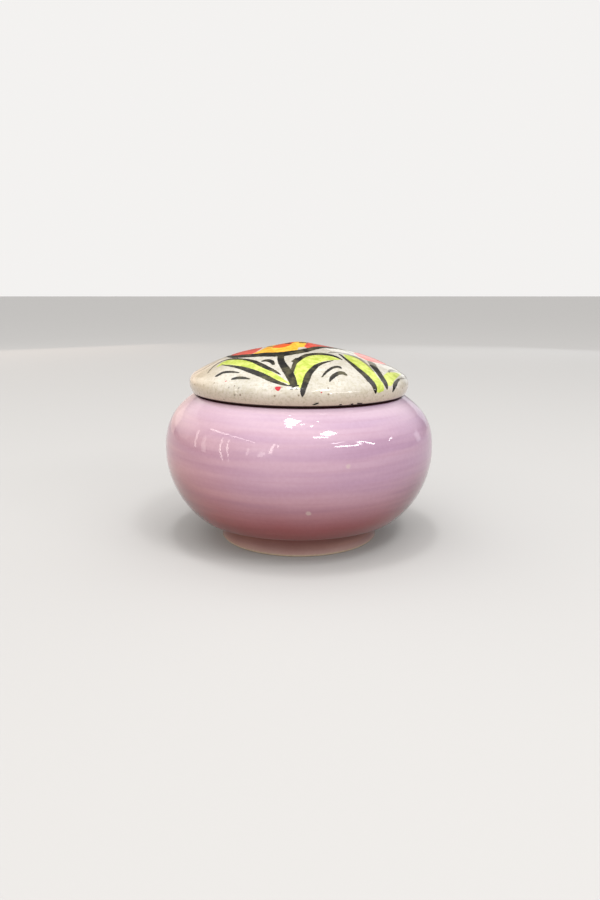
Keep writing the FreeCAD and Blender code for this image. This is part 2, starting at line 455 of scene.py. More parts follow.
def pink_glaze():
    """Gloss over brushed pink and lilac slip that turns brown-red towards the foot, partly with
    painted shade, and with painted light and shade at the sides.
    """
    finish = Finish("pink_glaze")
    x, _, height = finish.put("ShaderNodeSeparateXYZ", at0=finish.place())
    path = finish.trait("path")

    # The slip, by height up the wall, with painted shade low down
    uneven = finish.noise(22, detail=1.0, stretch=(1, 1, 0.3), seed=3.0)
    lifted = finish.sums("MULTIPLY_ADD", uneven, 5 * MM, finish.sums("SUBTRACT", height, 2.5 * MM))
    share = finish.sums("DIVIDE", lifted, RIM_HEIGHT * MM)
    slip = finish.ramp(share, PINK_SLIP_AND_PAINTED_SHADE)

    # Painted light: a warm light tint towards the left, most of all low down, and a little lilac
    # light tint right of the middle
    warm = finish.mix(finish.ease(height, 22 * MM, 52 * MM), (0.98, 0.74, 0.62, 1),
                      (1.0, 0.9, 0.84, 1))
    slip = finish.mix(finish.ease(x, -BELLY_RADIUS * MM, -8 * MM, 1.0, 0.0), slip, warm, "MULTIPLY")
    slip = finish.mix(finish.ease(x, -6 * MM, 30 * MM, 0.0, 0.7), slip, (0.9, 0.9, 0.95, 1),
                      "MULTIPLY")

    # Painted shade: darker low down on both sides, where the belly turns away from the light
    side = finish.ease(finish.sums("ABSOLUTE", x), 30 * MM, 51 * MM)
    painted_side_shade = finish.sums("MULTIPLY", side, finish.ease(height, 22 * MM, 39 * MM, 1.0, 0.0))
    slip = finish.mix(painted_side_shade, slip, (0.56, 0.44, 0.45, 1), "MULTIPLY")

    # Brush bands that run round the wall
    slip = finish.mix(finish.ease(finish.band(path, 4.5, 16.0), 0.38, 0.66, 0.0, 0.75), slip,
                      (0.84, 0.8, 0.9, 1), "MULTIPLY")
    slip = finish.mix(finish.ease(finish.band(path, 1.6, 24.0, 7.0), 0.42, 0.7, 0.0, 0.4), slip,
                      (0.9, 0.84, 0.86, 1), "MULTIPLY")
    fine = finish.noise(1.4, detail=3.0, seed=11.0)
    slip = finish.mix(finish.ease(fine, 0.35, 0.65, 0.0, 0.5), slip, (0.94, 0.92, 0.93, 1),
                      "MULTIPLY")

    # Pale spots where the slip has crawled
    for spot_x, spot_y, spot_z, width in CRAWLED_SPOTS:
        near = finish.put("ShaderNodeVectorMath", {"operation": "DISTANCE"}, at0=finish.place(),
                          at1=(spot_x * MM, spot_y * MM, spot_z * MM))["Value"]
        rough = finish.sums("MULTIPLY_ADD", fine, 0.8 * MM, near)
        slip = finish.mix(finish.ease(rough, width * MM, (width + 0.7) * MM, 0.5, 0.0), slip,
                          colour(176, 160, 150))

    # Painted shade that darkens the seam under the lid, and bare clay where foot ring and rim were
    # wiped
    slip = finish.mix(finish.ease(finish.trait("pool"), 0.2, 0.9), slip, colour(50, 16, 22))
    worn = finish.sums("MULTIPLY_ADD", finish.noise(1.2, detail=3.0, seed=9.0), 0.5,
                       finish.sums("SUBTRACT", finish.trait("bare"), 0.25))
    bare = finish.ease(worn, 0.42, 0.58)
    clay = finish.mix(finish.noise(0.8, detail=4.0, seed=5.0), colour(184, 168, 148),
                      colour(150, 126, 106))
    finish.give("Base Color", finish.mix(bare, slip, clay))
    finish.give("Roughness", finish.ease(bare, 0.0, 1.0, 0.3, 0.8))
    swell = finish.bump(finish.noise(9, detail=1.0, stretch=(1, 1, 1.5), seed=2.0), 0.09)
    ripple = finish.bump(finish.noise(2.2, detail=3.0, seed=4.0), 0.02, swell)
    finish.gloss(ripple, 0.03)
    return finish.material


def cream_glaze():
    """Gloss over warm white with fine dark specks, and the painting under it, with painted light at
    the left and painted shade low on the edge and in the seam.
    """
    finish = Finish("cream_glaze")
    x, _, height = finish.put("ShaderNodeSeparateXYZ", at0=finish.place())
    shade = finish.noise(14, detail=3.0, seed=4.0)
    ground = finish.mix(finish.ease(shade, 0.35, 0.65), colour(168, 164, 154),
                        colour(182, 178, 169))
    mottled = finish.noise(2.6, detail=3.0, roughness=0.65, seed=21.0)
    ground = finish.mix(finish.ease(mottled, 0.45, 0.62, 0.0, 0.4), ground, colour(152, 146, 126))

    # Painted warm light at the far left, and painted shade low on the edge, where it turns down
    left = finish.ease(x, -44 * MM, -24 * MM, 0.85, 0.0)
    ground = finish.mix(left, ground, colour(180, 162, 136))
    low = finish.ease(height, (RIM_HEIGHT + 0.6) * MM, (RIM_HEIGHT + 8) * MM, 0.85, 0.0)
    ground = finish.mix(low, ground, colour(184, 167, 149))

    # Grain and specks of iron
    grain = finish.noise(1.0, detail=4.0, roughness=0.75, seed=6.0)
    ground = finish.mix(finish.ease(grain, 0.46, 0.66, 0.0, 0.55), ground, colour(140, 131, 112))
    specks = finish.put("ShaderNodeTexVoronoi", {"voronoi_dimensions": "3D"},
                        Vector=finish.place(), Scale=1 / (2.1 * MM))
    chosen = finish.put("ShaderNodeSeparateColor", at0=specks["Color"])
    size = finish.ease(chosen[0], 0.62, 1.0, 0.0, 0.2)
    speck = finish.ease(finish.sums("SUBTRACT", size, specks["Distance"]), -0.04, 0.04, 0.0, 0.75)
    ground = finish.mix(speck, ground, colour(100, 82, 64))

    rough_edge = finish.sums("MULTIPLY_ADD", finish.noise(0.6, detail=3.0, seed=8.0), 0.5, -0.25)

    def coat(under, name, tint, softness=0.12, strength=1.0, spread=0.0):
        """A layer of paint, where its distance from the stroke's edge is above zero."""
        depth = finish.sums("ADD", finish.trait(name), rough_edge)
        if spread:
            depth = finish.sums("ADD", depth, spread)
        return finish.mix(finish.ease(depth, -softness, softness, 0.0, strength), under, tint)

    streak = finish.noise(2.2, detail=3.0, roughness=0.6, seed=12.0)
    leaf = finish.mix(finish.ease(streak, 0.38, 0.62), colour(150, 164, 50), colour(180, 188, 96))
    painted = coat(ground, "paint_green", leaf, strength=0.95)
    petal = finish.mix(finish.ease(streak, 0.35, 0.65), colour(176, 44, 30), colour(196, 78, 56))
    painted = coat(painted, "paint_red", petal, strength=0.95)
    gold = finish.mix(finish.ease(streak, 0.35, 0.65), colour(200, 140, 26), colour(214, 172, 62))
    painted = coat(painted, "paint_yellow", gold)
    painted = coat(painted, "paint_orange", colour(196, 78, 18), softness=0.3)
    painted = coat(painted, "paint_thin", colour(74, 68, 56), softness=0.3, strength=0.75)
    loaded = finish.ease(finish.noise(3.4, detail=3.0, roughness=0.6, seed=15.0), 0.42, 0.66)
    dragged = finish.sums("MULTIPLY", loaded, finish.ease(height, 64 * MM, 71 * MM, 0.15, 1.0))
    ink = finish.mix(dragged, colour(10, 7, 4), colour(66, 62, 42))
    painted = coat(painted, "paint_ink", ink, spread=0.1)
    painted = coat(painted, "paint_spot", colour(160, 8, 30), softness=0.1)

    # Painted shade that darkens the seam, low on the lid's edge and under it
    painted = finish.mix(finish.ease(finish.trait("pool"), 0.2, 0.9), painted, colour(70, 34, 30))
    bare = finish.ease(finish.trait("bare"), 0.4, 0.6)
    clay = finish.mix(finish.noise(0.8, detail=4.0, seed=5.0), colour(184, 168, 148),
                      colour(158, 136, 116))
    finish.give("Base Color", finish.mix(bare, painted, clay))
    finish.give("Roughness", finish.ease(bare, 0.0, 1.0, 0.35, 0.8))
    swell = finish.bump(finish.noise(7, detail=1.0, seed=3.0), 0.07)
    pits = finish.bump(finish.noise(1.3, detail=2.0, seed=2.0), 0.02, swell)
    finish.gloss(pits, 0.04, coat_ior=1.36)
    finish.give("Coat Weight", finish.ease(height, 67.5 * MM, 70 * MM, 1.0, 0.55))
    return finish.material


# The bowl


def bowl_section():
    edge_height = BELLY_EDGE_HEIGHT + BELLY_EDGE_ROUND
    spread = BELLY_BEND - BELLY_EDGE_ROUND
    join = -math.degrees(math.asin((BELLY_HEIGHT - edge_height) / spread))
    wide_centre = (BELLY_RADIUS - BELLY_BEND, BELLY_HEIGHT)
    edge_centre = (wide_centre[0] + spread * math.cos(math.radians(join)), edge_height)
    ring_inside = FOOT_RADIUS - FOOT_RING
    mouth = RIM_RADIUS - RIM_WIDTH
    reach = SHOULDER_REACH_SHARE * (BELLY_RADIUS - RIM_RADIUS)
    rise = SHOULDER_RISE_SHARE * (RIM_HEIGHT - BELLY_HEIGHT)
    fall = reach * math.tan(math.radians(SHOULDER_SLOPE))
    neck = RIM_HEIGHT - RIM_DEPTH

    section = Section()
    section.add(line((0, RECESS_DEPTH), (ring_inside - RECESS_TAPER, RECESS_DEPTH)),
                step=1.8, rings=0.12, waver=0.4)
    section.add(line((ring_inside - RECESS_TAPER, RECESS_DEPTH), (ring_inside, 0)), 0.8, waver=0)
    section.add(line((ring_inside, 0), (FOOT_RADIUS, 0)), 0.6, waver=0, bare=1)
    low = FOOT_RADIUS + (FOOT_TOP_RADIUS - FOOT_RADIUS) * WIPED_HEIGHT / FOOT_HEIGHT
    section.add(line((FOOT_RADIUS, 0), (low, WIPED_HEIGHT)), 0.7, waver=0, bare=1)
    section.add(line((low, WIPED_HEIGHT), (FOOT_TOP_RADIUS, FOOT_HEIGHT)), rings=0.05, waver=0.6)
    section.add(line((FOOT_TOP_RADIUS, FOOT_HEIGHT), (edge_centre[0], BELLY_EDGE_HEIGHT)), 1.0,
                waver=0.6)
    section.add(arc(edge_centre, BELLY_EDGE_ROUND, -90, join), rings=0.06)
    section.add(arc(wide_centre, BELLY_BEND, join, 0), rings=0.06)
    shoulder = sweep((BELLY_RADIUS, BELLY_HEIGHT), (BELLY_RADIUS, BELLY_HEIGHT + rise),
                     (RIM_RADIUS + reach, RIM_HEIGHT - fall), (RIM_RADIUS, RIM_HEIGHT))
    # The shoulder's last stretch under the lid and the rim's outer edge get painted shade in the
    # seam
    under_lid = int(BOWL_SEAM_SHADE / TRACE)
    section.add(shoulder[:-under_lid], rings=0.06)
    section.add(shoulder[-under_lid:], pool=1)
    seat_edge = (RIM_RADIUS - SEAT_INSET, RIM_HEIGHT)
    section.add(line((RIM_RADIUS, RIM_HEIGHT), seat_edge), 0.5, waver=0, pool=1)
    section.add(line(seat_edge, (mouth, RIM_HEIGHT)), waver=0, bare=1)
    section.add(line((mouth, RIM_HEIGHT), (mouth, neck)), 0.8, waver=0.3)
    section.add(upright_arc((mouth, neck), (BELLY_RADIUS - WALL, BELLY_HEIGHT)), 0.8,
                step=1.6, rings=0.1)
    section.add(vault((BELLY_RADIUS - WALL, BELLY_HEIGHT), FLOOR_HEIGHT, SIDE_BEND_SHARE),
                step=1.6, rings=0.3)
    return section


# The lid


def lid_section():
    dome_rise = LID_HEIGHT - RIM_HEIGHT - LID_EDGE_RISE
    bend = LID_BEND_SHARE * dome_rise
    slope = CROWN_SLOPE_SHARE * dome_rise / LID_RADIUS
    shallow = 90 - math.degrees(math.atan(slope))
    steep = 90 - math.degrees(math.atan(LID_BEND_SLOPE_SHARE * dome_rise / LID_RADIUS))
    flange = RIM_RADIUS - RIM_WIDTH - FLANGE_GAP
    bore = flange - FLANGE_THICKNESS
    widest = (LID_RADIUS, RIM_HEIGHT + LID_EDGE_RISE)
    lower_edge = (LID_RADIUS - LID_EDGE_INSET, RIM_HEIGHT + SEAM_GAP)
    seat_edge = (RIM_RADIUS - SEAT_INSET, RIM_HEIGHT)
    seam_inside = (seat_edge[0] + SEAM_GAP, lower_edge[1])

    # The wide bend of the dome runs from the small bend into the cone under the crown
    toward = [np.array([math.cos(math.radians(a)), math.sin(math.radians(a))])
              for a in (steep, shallow)]
    small_centre = np.array([LID_RADIUS - bend, widest[1]])
    bend_end = small_centre + toward[0] * bend
    sag = CROWN_RADIUS * math.tan(math.atan(slope) / 2)
    turn_way = toward[1] - toward[0]
    rise = LID_HEIGHT - sag - bend_end[1] - (bend_end[0] - CROWN_RADIUS) * slope
    wide = rise / (turn_way[1] + turn_way[0] * slope)
    wide_centre = bend_end - toward[0] * wide
    cone_edge = wide_centre + toward[1] * wide
    crown_bend = CROWN_RADIUS / math.sin(math.atan(slope))

    section = Section()
    painted_step = 0.48
    spring = (bore, RIM_HEIGHT + HOLLOW_SPRING)
    section.add(vault(spring, LID_HEIGHT - LID_WALL, HOLLOW_BEND_SHARE)[::-1], step=2.4, rings=0.3)
    section.add(line(spring, (bore, FLANGE_FOOT)), step=1.6, waver=0.3)
    section.add(line((bore, FLANGE_FOOT), (flange, FLANGE_FOOT)), 0.7, step=1.6, waver=0)
    section.add(line((flange, FLANGE_FOOT), (flange, RIM_HEIGHT)), 0.7, step=1.6, waver=0)
    section.add(line((flange, RIM_HEIGHT), seat_edge), 0.5, step=1.2, waver=0, bare=1)
    # The lid's underside out from the seat and the foot of its edge get painted shade in the seam
    section.add(line(seat_edge, seam_inside), 0.2, step=0.5, waver=0, pool=1)
    section.add(line(seam_inside, lower_edge), 0.2, step=0.5, waver=0, pool=1)
    edge = upright_arc(lower_edge, widest)
    in_seam = int(LID_SEAM_SHADE / TRACE)
    section.add(edge[:in_seam], 0.5, step=painted_step, pool=1)
    section.add(edge[in_seam:], step=painted_step, rings=0.04)
    section.add(arc(small_centre, bend, 0, steep), step=painted_step, rings=0.04)
    section.add(arc(wide_centre, wide, steep, shallow), step=painted_step, rings=0.04)
    section.add(line(cone_edge, (CROWN_RADIUS, LID_HEIGHT - sag)), step=painted_step, rings=0.04)
    section.add(arc((0, LID_HEIGHT - crown_bend), crown_bend, shallow, 90), step=0.6)
    return section


# The painting: tulips with strap leaves, laid on with a round brush.
# Every place is in millimetres from the crown, measured along the surface as if the lid
# were rolled out flat, +X to the right and +Y away from the viewer. Places that the photograph
# shows were picked in it and worked out from there.


def smooth_line(points, per_span=10):
    """A flowing line through a few points, each with its x, y and half width."""
    points = np.array(points, float)
    ends = np.vstack([2 * points[0] - points[1], points, 2 * points[-1] - points[-2]])
    share = np.linspace(0, 1, per_span, endpoint=False)[:, None]
    runs = []
    for a, b, c, d in zip(ends, ends[1:], ends[2:], ends[3:]):
        runs.append(0.5 * (2 * b + (c - a) * share + (2 * a - 5 * b + 4 * c - d) * share ** 2
                           + (3 * b - a - 3 * c + d) * share ** 3))
    return np.vstack(runs + [points[-1:]])


# The depth that stands for a place far from any stroke, and how far round one depths are worked out
FAR_OUTSIDE = -9.0
STROKE_MARGIN = 4


def stroke_depth(plan, points):
    """How far inside a brush stroke each point of the plan lies. Outside is below zero."""
    track = smooth_line(points)
    best = np.full(len(plan), FAR_OUTSIDE)
    low = track[:, :2].min(0) - STROKE_MARGIN
    high = track[:, :2].max(0) + STROKE_MARGIN
    near = np.all((plan > low) & (plan < high), axis=1)
    found = best[near]
    for start, end in zip(track, track[1:]):
        way = end[:2] - start[:2]
        share = np.clip((plan[near] - start[:2]) @ way / max(way @ way, 1e-9), 0, 1)
        reach = np.linalg.norm(plan[near] - start[:2] - share[:, None] * way, axis=1)
        found = np.maximum(found, start[2] + share * (end[2] - start[2]) - reach)
    best[near] = found
    return best


def wash_depth(plan, *edges):
    """How far inside a filled shape each point lies. Its edges join into one closed outline."""
    track = np.vstack([smooth_line([(x, y, 0) for x, y in edge])[:, :2] for edge in edges])
    reach = np.full(len(plan), np.inf)
    inside = np.zeros(len(plan), bool)
    for start, end in zip(track, np.roll(track, -1, axis=0)):
        way = end - start
        share = np.clip((plan - start) @ way / max(way @ way, 1e-9), 0, 1)
        reach = np.minimum(reach, np.linalg.norm(plan - start - share[:, None] * way, axis=1))
        if start[1] != end[1]:
            spans = (start[1] > plan[:, 1]) != (end[1] > plan[:, 1])
            cross = start[0] + (plan[:, 1] - start[1]) / (end[1] - start[1]) * way[0]
            inside ^= spans & (plan[:, 0] < cross)
    return np.where(inside, reach, -reach)


# The painted outside ends this far from the crown, at the lid's lower edge. The crown itself
# counts as this far off the axis.
PAINTED_REACH = 53.5
AT_CROWN = 0.01

# A stroke is a line of places, each with its half width. A wash is a closed shape, given by
# its edges.
FRONT_TULIP = {
    "paint_green": [
        # Left leaf
        ([(-3.2, -43.6), (-5.4, -40.6), (-10.4, -34.1), (-14.3, -29.4), (-19, -22), (-23.9, -16),
          (-28.6, -12.1), (-31.3, -12.6), (-33.2, -17.1)],
         [(-33.2, -17.1), (-30.8, -16.9), (-27.2, -20), (-23.4, -24.3), (-17.1, -32.1),
          (-11.2, -38.6), (-3.2, -43.6)]),
        # Right leaf
        ([(1.3, -45.8), (0.1, -45.4), (-0.9, -42.3), (-1.8, -37.2), (-1.4, -30.5), (0.1, -26),
          (2.5, -21.8), (5.4, -19.4), (9.4, -18), (13.4, -18.3), (16.4, -21)],
         [(16.4, -21), (11.3, -24), (7, -28.1), (4.5, -32.4), (2.4, -37.9), (1.2, -44.6),
          (1.3, -45.8)]),
        # Between the leaves at the stem's foot
        ([(-4.2, -43.4), (-3.4, -40.2), (-1, -38.4)], [(-1, -38.4), (0.4, -42), (0.2, -45)],
         [(0.2, -45), (-2, -44.2), (-4.2, -43.4)]),
    ],
    "paint_red": [
        # Left and right petal
        ([(-27, -7), (-28, 0), (-25, 7), (-19, 12)],
         [(-19, 12), (-15.5, 4), (-15.5, -3), (-17.5, -10.5)],
         [(-17.5, -10.5), (-20.7, -12.9), (-27, -7)]),
        ([(2, -9), (3, -1), (6, 7), (11, 12)], [(11, 12), (14.5, 5), (14, -1), (12, -4)],
         [(12, -4), (8.5, -7.5), (4.4, -10.5), (2, -9)]),
    ],
    "paint_yellow": [
        ([(-18.9, -12.8), (-16.6, -9.4), (-13.5, -2), (-11, 6), (-5, 14)],
         [(-5, 14), (1, 7), (3, -1), (2, -9)],
         [(2, -9), (-0.2, -10), (-1, -13.5), (-6, -16), (-13, -15), (-18.9, -12.8)]),
    ],
    "paint_orange": [
        ([(-11, -6), (-9.5, 0), (-5, 7)], [(-5, 7), (-2, 1), (-3.8, -6.5)],
         [(-3.8, -6.5), (-7.2, -8.6), (-11, -6)]),
    ],
    "paint_ink": [
        # Stem, the dots under it, and the cup of the flower
        [(-7.1, -17.6, 1.2), (-6.8, -26.3, 1.3), (-5, -33.1, 1.55), (-3.4, -37.8, 1.65),
         (-2.4, -41.5, 1.45), (-1.9, -43.8, 1.2)],
        [(-3.4, -44.2, 0.4), (-0.4, -44.3, 0.4)],
        [(-2.9, -45.8, 0.45), (-2.6, -45.8, 0.45)],
        [(-1, -45.9, 0.3), (-0.8, -45.9, 0.3)],
        [(-30.2, 0.8, 0.6), (-26.8, -7.7, 1.4), (-23.2, -11.6, 2.0), (-17.8, -15.1, 2.2),
         (-14.5, -16, 2.6), (-10.5, -17.7, 2.75), (-6.5, -18.2, 2.9), (-2.5, -16.7, 2.6),
         (1.5, -14.5, 2.1), (4.8, -11.1, 1.7), (7.6, -7.5, 1.4), (11, -3.5, 1.0)],
        [(-30.2, 0.8, 0.6), (-29.5, 6, 0.55), (-25, 11, 0.4), (-19.5, 13.5, 0.15)],
        [(11, -3.5, 1.0), (15, 2, 0.7), (15.2, 8, 0.5), (11.5, 13.5, 0.15)],
        [(-13.5, 5.5, 0.3), (-9.5, 12, 0.5), (-5, 15.5, 0.4), (0, 11.5, 0.5), (3.5, 5.5, 0.3)],
        [(-5.1, -1, 0.8), (-3.6, -2.7, 0.7)],
        [(0.7, -2.7, 0.8), (2.8, -1.8, 0.8)],
        # Left leaf, top edge and lower edge
        [(-36.7, -19.3, 0.15), (-35.5, -15.7, 0.25), (-33.5, -11.8, 0.4), (-31.2, -10.2, 0.75),
         (-28.7, -10.9, 0.8), (-23.9, -15.5, 0.6), (-20, -19.9, 0.7), (-17.4, -23.2, 0.9),
         (-15.5, -26.2, 0.95), (-13.4, -29.2, 1.0), (-11.3, -32, 0.85), (-9.2, -34.3, 0.6),
         (-6.9, -37.2, 0.2)],
        [(-30.9, -16.1, 0.2), (-28.1, -20, 0.4), (-24.1, -24.7, 0.75), (-20.2, -29.2, 1.15),
         (-17.1, -32.7, 1.3), (-14.1, -35.9, 1.25), (-11.2, -39.1, 1.15), (-8.3, -41.7, 0.9),
         (-5.7, -43.4, 0.6), (-4.3, -44.1, 0.2)],
        # Right leaf, left edge and right edge
        [(-2.6, -37, 0.3), (-2.2, -33.3, 0.65), (-1.6, -29.2, 0.75), (-0.1, -25.4, 0.95),
         (2.5, -20.7, 1.2), (5.5, -18.3, 1.35), (9.5, -16.9, 1.4), (13.4, -17.6, 1.1),
         (16.6, -20.6, 0.4)],
        [(-1.9, -26.9, 0.9), (-0.6, -24.5, 0.9)],
        [(1.3, -49, 0.1), (1.4, -47.1, 0.85), (2.2, -43.4, 1.05), (3, -39.8, 1.2),
         (3.7, -36.9, 1.15), (5.3, -33.1, 1.05), (7.2, -29.4, 0.85), (11.2, -25.2, 0.45),
         (13.2, -23.4, 0.15)],
        # Loose dabs in the ground
        [(-13.8, -24.2, 0.7), (-12.1, -24.3, 1.15), (-10.5, -26.1, 0.9), (-9.7, -28.8, 0.5)],
        [(-31.9, -26.6, 1.0), (-29.8, -25.9, 0.95), (-26.8, -27.5, 0.7), (-23, -30.5, 0.25)],
        [(-25.3, -33.8, 0.7), (-22.5, -34.6, 0.85), (-18.8, -37, 0.3)],
        [(8.6, -38.2, 0.2), (10.4, -34.2, 0.45), (12.9, -30.2, 0.6), (15.1, -28.7, 0.75),
         (15.9, -29.4, 0.45)],
        [(11.5, -40.4, 0.2), (12.5, -37.5, 0.75), (14.5, -34.4, 0.95), (16.3, -33, 1.1),
         (17.7, -33.8, 0.65)],
        # Marks low on the edge
        [(5.9, -51.7, 0.2), (7.9, -50.8, 0.25)],
        [(17.5, -49.3, 0.2), (18.2, -49.1, 0.2)],
        [(22.5, -47.3, 0.2), (23.2, -47, 0.25)],
        [(25.5, -45.8, 0.35), (27.5, -44.8, 0.25)],
    ],
    "paint_thin": [
        # Beside the flower, in it, and small marks low down
        [(-44.3, -8.6, 0.6), (-39.5, -9.2, 0.8), (-34.2, -6.4, 0.7)],
        [(-13.4, 3.5, 0.6), (-11, -2.4, 0.8)],
        [(12, -5, 1.0), (18, 6, 0.8)],
        [(-7, -45, 0.3), (-6.2, -44.8, 0.15)],
        [(-27.3, -38.2, 0.3), (-27, -38.2, 0.3)],
        [(-23.2, -40.6, 0.35), (-22.9, -40.6, 0.3)],
        [(-26, -42.3, 0.35), (-25.7, -42.2, 0.3)],
    ],
    "paint_spot": [
        [(-8.4, -45, 0.7), (-7.9, -45.9, 0.5), (-7.4, -45, 0.7)],
        [(-28.3, -33.9, 0.35), (-28.1, -33.9, 0.35)],
        [(8.4, -46.6, 0.3), (8.6, -46.6, 0.3)],
    ],
}

RIGHT_TULIP = {
    "paint_green": [
        # Left and right leaf
        ([(34, -34.5), (33.5, -32.8), (31.9, -29.8), (30.1, -25.9), (28, -20.6), (25, -16.1),
          (21.2, -12.4), (17.5, -12.3)],
         [(17.5, -12.3), (18.1, -16.3), (20.4, -22.4), (25.4, -29.7), (30.8, -37), (34, -34.5)]),
        ([(33.7, -31.8), (33.2, -25.5), (35.7, -18.2), (39.2, -12.7), (43.8, -5)],
         [(43.8, -5), (40.2, -17.4), (38.2, -23.7), (36.8, -29), (33.7, -31.8)]),
    ],
    "paint_red": [
        ([(24, -10), (22.5, -3), (26, 7)], [(26, 7), (33.5, 4), (36.5, -3), (36, -6)],
         [(36, -6), (31.6, -10), (27.7, -12), (24, -10)]),
    ],
    "paint_ink": [
        # The left leaf's lower edge, the stem and the right leaf's foot
        [(30.8, -38, 0.25), (29.6, -36.5, 1.0), (28, -34.1, 1.35), (25.4, -30.1, 1.4),
         (22.8, -26.6, 1.2), (20.4, -22.8, 0.9), (18, -18.3, 0.65), (16.1, -13.4, 0.45)],
        [(29.7, -18.4, 1.7), (31.1, -22.6, 1.4), (32.6, -26.9, 1.3), (34, -30.7, 1.15),
         (35.2, -32.4, 0.3)],
        [(38.8, -30.2, 0.3), (38.5, -27.5, 0.95), (39.3, -23.4, 0.6), (40.6, -19.5, 0.3)],
    ],
    "paint_thin": [
        # The left leaf's upper edge, the stem's top, the right leaf's edges and the flower's sides
        [(11.9, -13.6, 0.5), (15.1, -10.8, 0.9), (19.6, -10.5, 1.2), (23.9, -13.4, 1.1),
         (26.3, -17.6, 0.75), (28.1, -21.2, 0.5), (29.4, -24.2, 0.3)],
        [(29, -13.2, 1.7), (29.7, -18.4, 1.7)],
        [(36.2, -17.3, 0.3), (37, -13.6, 0.6), (39, -9.8, 1.0), (41.8, -7.4, 1.2),
         (44.6, -8.4, 0.7)],
        [(40, -21, 0.45), (41, -18.3, 0.45), (43.4, -13.6, 0.35), (47.5, -5.1, 0.2)],
        [(15, 3, 0.7), (18.9, -1.5, 1.0), (21.7, -5.1, 0.9)],
        [(34.3, -7.7, 0.7), (38, -2.4, 1.0), (42.2, 2.8, 0.6)],
    ],
}

# The tulips round the back, which are turned to their places
BACK_TULIP = {
    "paint_green": [
        ([(-1.5, -44), (-7, -39), (-12, -32), (-19, -28)], [(-19, -28), (-9.5, -40), (-1.5, -44)]),
        ([(1, -44), (3, -37), (8, -31), (15, -29)], [(15, -29), (6.5, -40), (1, -44)]),
    ],
    "paint_red": [
        ([(-8.5, -24), (-9, -18), (-6, -14)], [(-6, -14), (-4, -19), (-4.5, -26)],
         [(-4.5, -26), (-8.5, -24)]),
        ([(8, -24), (8.5, -18), (5.5, -14)], [(5.5, -14), (4, -19), (4, -26)], [(4, -26), (8, -24)]),
    ],
    "paint_yellow": [
        ([(-4.5, -26), (-4, -19), (-0.5, -13)], [(-0.5, -13), (3.5, -19), (4, -26)],
         [(4, -26), (-0.5, -27.5), (-4.5, -26)]),
    ],
    "paint_orange": [
        ([(-2, -23.5), (-2, -20), (-0.3, -17)], [(-0.3, -17), (1.8, -20), (1.5, -23.5)],
         [(1.5, -23.5), (-0.3, -25), (-2, -23.5)]),
    ],
    "paint_ink": [
        # Two edges of each leaf, the stem, the cup of the flower and two loose dabs
        [(-20.5, -28.5, 0.2), (-13, -31.5, 0.8), (-7, -38.5, 0.8), (-2.5, -43, 0.2)],
        [(-19.5, -29, 0.2), (-15, -34.8, 1.0), (-9.5, -40.4, 1.2), (-2, -44.8, 0.2)],
        [(0.5, -43, 0.3), (2.3, -37, 0.8), (7.5, -30.2, 1.0), (15.5, -28.6, 0.3)],
        [(1.5, -48, 0.1), (3.5, -42.5, 1.1), (7, -38.5, 1.1), (11, -33.5, 0.7), (16, -29.6, 0.2)],
        [(-0.5, -44.5, 1.2), (-1.2, -38, 1.3), (-0.8, -29, 1.0)],
        [(-10.5, -18, 0.4), (-8, -25, 1.4), (-1, -28.5, 1.7), (7, -25.5, 1.4), (10.5, -18, 0.4)],
        [(17.5, -36, 0.1), (20, -33, 0.7), (23.5, -32, 0.3)],
        [(-21, -36, 0.3), (-18, -38.4, 0.7), (-15.5, -41.5, 0.1)],
    ],
}
BACK_TURNS = (138, 214)


def turned_by(angle, points):
    """Places turned round the crown. Widths after the first two numbers stay."""
    cosine, sine = math.cos(math.radians(angle)), math.sin(math.radians(angle))
    return [(cosine * x - sine * y, sine * x + cosine * y, *width) for x, y, *width in points]


def turned_tulip(angle, tulip):
    return {name: [turned_by(angle, mark) if name == "paint_ink" else
                   tuple(turned_by(angle, edge) for edge in mark) for mark in marks]
            for name, marks in tulip.items()}


def paint(piece):
    """Lays the painting on the outside of the lid, as each point's depth inside each colour."""
    mesh = piece.data
    spots = read_points(mesh) / MM
    path = np.empty(len(mesh.vertices), np.float32)
    mesh.attributes["path"].data.foreach_get("value", path)
    reach = (path.max() - path) / MM
    outside = reach < PAINTED_REACH
    radius = np.maximum(np.hypot(spots[:, 0], spots[:, 1]), AT_CROWN)
    rolled_out = spots[:, :2] * (reach / radius)[:, None]
    plan = rolled_out[outside].astype(float)
    tulips = [FRONT_TULIP, RIGHT_TULIP] + [turned_tulip(angle, BACK_TULIP) for angle in BACK_TURNS]
    for name in ("paint_green", "paint_red", "paint_yellow", "paint_orange", "paint_thin",
                 "paint_ink", "paint_spot"):
        marks = [mark for tulip in tulips for mark in tulip.get(name, [])]
        depths = [wash_depth(plan, *mark) if isinstance(mark, tuple) else stroke_depth(plan, mark)
                  for mark in marks]
        values = np.full(len(mesh.vertices), FAR_OUTSIDE, np.float32)
        values[outside] = np.max(depths, axis=0)
        mesh.attributes.new(name, "FLOAT", "POINT").data.foreach_set("value", values)


# Make the pieces

wheel = turning_tree()
bowl = turn("bowl_turned", bowl_section(), wheel, pink_glaze(), Columns=360,
            Ring_Pitch=4 * MM, Waver_Depth=0.2 * MM, Waver_Size=34 * MM, Seed=3.0)
lid = turn("lid_turned", lid_section(), wheel, cream_glaze(), Columns=520,
           Ring_Pitch=5 * MM, Waver_Depth=0.15 * MM, Waver_Size=26 * MM, Seed=8.0)
paint(lid)

for piece, node, body, slot in ((bowl, "bowl", "box", "pink_glaze"),
                                (lid, "lid", "cover", "cream_glaze")):
    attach(piece, body)
    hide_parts(node)

# Floor, lights and camera

